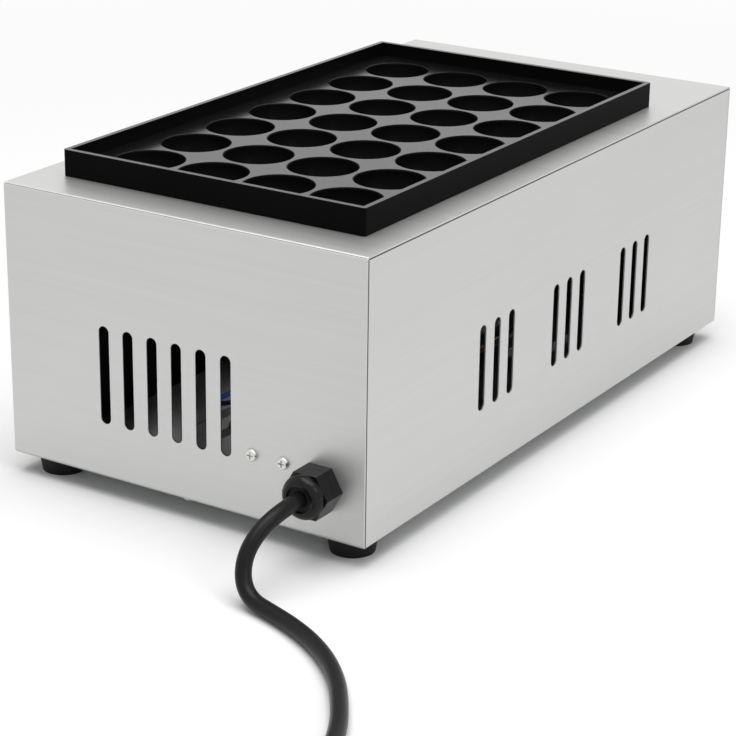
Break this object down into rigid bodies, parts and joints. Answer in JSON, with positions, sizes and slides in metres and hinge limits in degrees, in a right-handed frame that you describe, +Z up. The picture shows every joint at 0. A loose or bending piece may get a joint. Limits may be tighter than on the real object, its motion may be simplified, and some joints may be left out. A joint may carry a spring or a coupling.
{
  "type": "takoyaki maker",
  "caption": "Countertop electric griddle with a cast plate of half-round cups on a slotted sheet-steel housing, a thermostat knob, two lamps and a supply cord.",
  "frame": {"origin": "bottom centre of the bounding box of the object without its cord, coil and plug, on the surface that the feet stand on", "axes": "+Z up; +Y towards the rear wall with the cord gland; +X to the right side seen from the front with the knob"},
  "size_m": [0.389, 0.8616, 0.1895],
  "materials": {
    "steel": "satin brushed stainless sheet",
    "galvanised": "plain bright sheet",
    "zinc": "zinc-plated fasteners",
    "rubber": "matt black rubber",
    "cast_black": "black non-stick coated casting",
    "heater_tube": "dull annealed tube",
    "ceramic": "white ceramic",
    "copper": "copper",
    "nickel": "nickel-plated brass",
    "black_plastic": "black moulded plastic",
    "dial": "satin silver scale with dark printing",
    "green_lens": "clear green lens",
    "amber_lens": "clear amber lens",
    "white_plastic": "white moulded plastic",
    "brown_wire": "brown insulation",
    "blue_wire": "blue insulation",
    "earth_wire": "green insulation with a yellow stripe"
  },
  "bodies": {
    "housing": {"body_cover": "steel", "left_side_panel": "steel", "right_side_panel": "steel", "base_plate": "galvanised", "heat_shield": "galvanised", "front_heater_clamp": "galvanised", "rear_heater_clamp": "galvanised", "bulb_carrier": "galvanised", "heater_links": "galvanised", "base_screws": "zinc", "foot_screws": "zinc", "foot_washers": "zinc", "foot_nuts": "zinc", "plate_studs": "zinc", "plate_washers": "zinc", "plate_nuts": "zinc", "clamp_screws": "zinc", "thermostat_screws": "zinc", "rear_screws": "zinc", "small_nuts": "zinc", "lamp_nuts": "zinc", "earth_stud": "zinc", "foot_front_left": "rubber", "foot_front_right": "rubber", "foot_rear_left": "rubber", "foot_rear_right": "rubber", "gland_seal": "rubber", "power_cord": "rubber", "cord_coil": "rubber", "cord_tail": "rubber", "lead_in": "rubber", "plug_body": "rubber", "mould_plate": "cast_black", "inner_heater": "heater_tube", "outer_heater": "heater_tube", "heater_insulators": "ceramic", "sensor_bulb": "copper", "capillary_tube": "copper", "plug_pins": "nickel", "plug_earth_clips": "nickel", "heater_terminals": "nickel", "power_lamp": "black_plastic", "heating_lamp": "black_plastic", "gland_body": "black_plastic", "gland_cap": "black_plastic", "gland_locknut": "black_plastic", "thermostat_body": "black_plastic", "dial_plate": "dial", "power_lamp_lens": "green_lens", "heating_lamp_lens": "amber_lens", "terminal_block": "white_plastic", "live_core": "brown_wire", "live_wire": "brown_wire", "switched_wire": "brown_wire", "neutral_core": "blue_wire", "neutral_wire": "blue_wire", "earth_core": "earth_wire", "earth_wire": "earth_wire"},
    "control": {"temperature_knob": "black_plastic", "thermostat_shaft": "heater_tube"}
  },
  "joints": [
    {"name": "knob_turn", "type": "hinge", "parent": "housing", "child": "control", "pos_m": [0, -0.2187, 0.092], "axis": [0, -1, 0], "range_deg": [-270, 0]}
  ]
}
